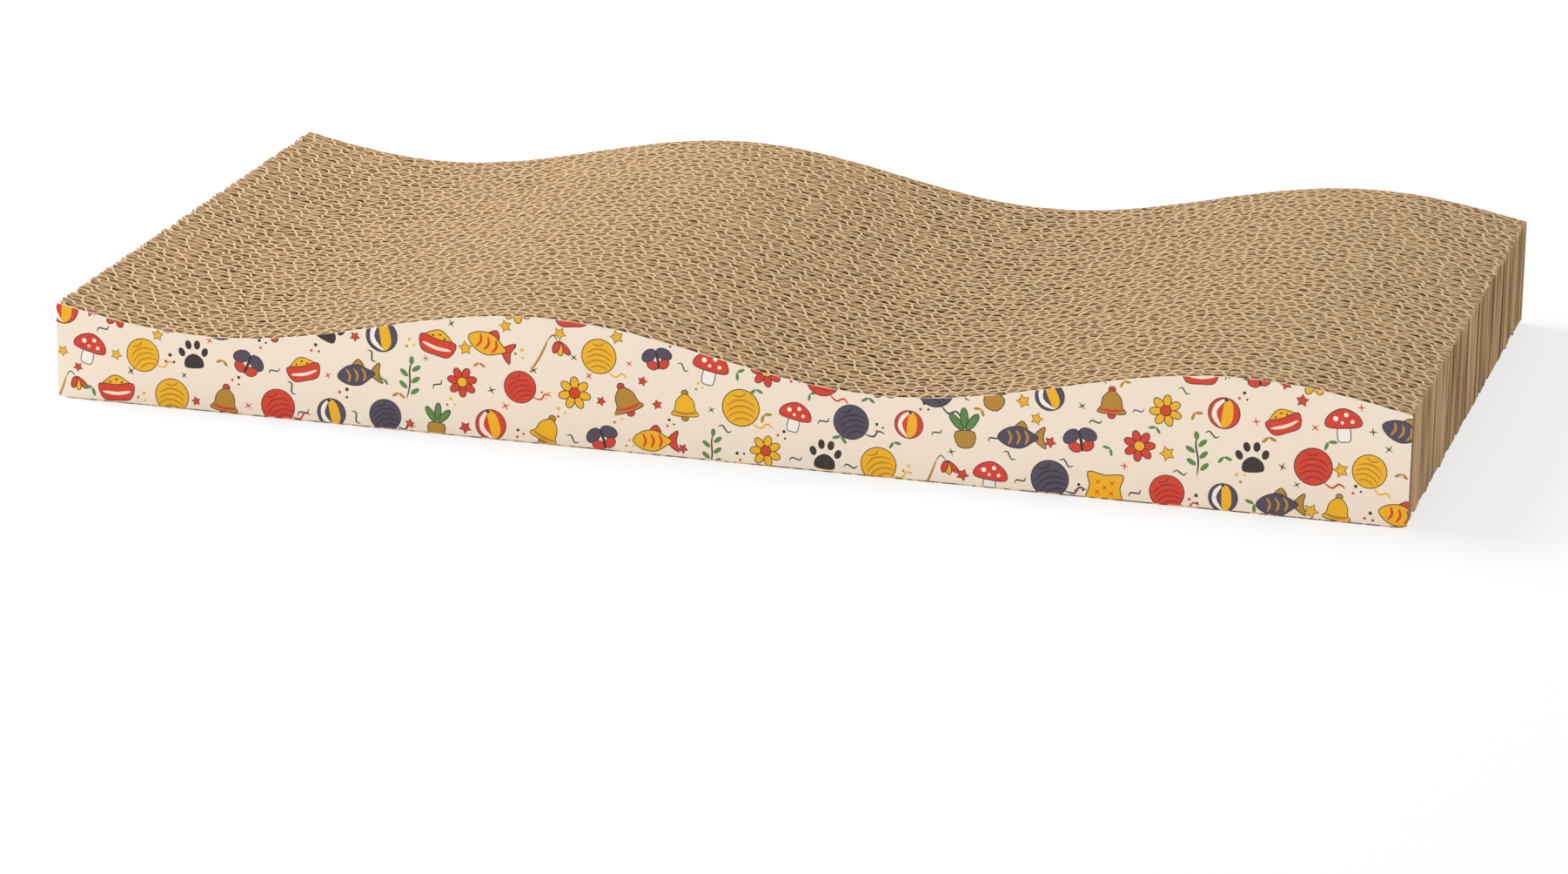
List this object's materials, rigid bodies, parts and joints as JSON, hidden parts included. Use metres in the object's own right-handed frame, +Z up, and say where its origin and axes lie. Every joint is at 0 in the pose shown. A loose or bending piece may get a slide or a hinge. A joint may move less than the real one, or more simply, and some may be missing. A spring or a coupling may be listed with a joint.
{
  "type": "cat scratcher",
  "caption": "Low rectangular cat scratching block with a wave-shaped top, made of corrugated cardboard strips on edge between two printed paper sides.",
  "frame": {"origin": "centre of the block's footprint, on the surface it lies on", "axes": "+X along the block towards the end beside the higher crest, +Y from the front printed side to the back one, +Z up"},
  "size_m": [0.45, 0.241, 0.0437],
  "materials": {
    "kraft_board": "matte",
    "printed_paper": "satin"
  },
  "bodies": {
    "root": {"front_print_sheet": "printed_paper", "strip_01": "kraft_board", "strip_02": "kraft_board", "strip_03": "kraft_board", "strip_04": "kraft_board", "strip_05": "kraft_board", "strip_06": "kraft_board", "strip_07": "kraft_board", "strip_08": "kraft_board", "strip_09": "kraft_board", "strip_10": "kraft_board", "strip_11": "kraft_board", "strip_12": "kraft_board", "strip_13": "kraft_board", "strip_14": "kraft_board", "strip_15": "kraft_board", "strip_16": "kraft_board", "strip_17": "kraft_board", "strip_18": "kraft_board", "strip_19": "kraft_board", "strip_20": "kraft_board", "strip_21": "kraft_board", "strip_22": "kraft_board", "strip_23": "kraft_board", "strip_24": "kraft_board", "strip_25": "kraft_board", "strip_26": "kraft_board", "strip_27": "kraft_board", "strip_28": "kraft_board", "strip_29": "kraft_board", "strip_30": "kraft_board", "strip_31": "kraft_board", "strip_32": "kraft_board", "strip_33": "kraft_board", "strip_34": "kraft_board", "strip_35": "kraft_board", "strip_36": "kraft_board", "strip_37": "kraft_board", "back_print_sheet": "printed_paper"}
  },
  "joints": []
}
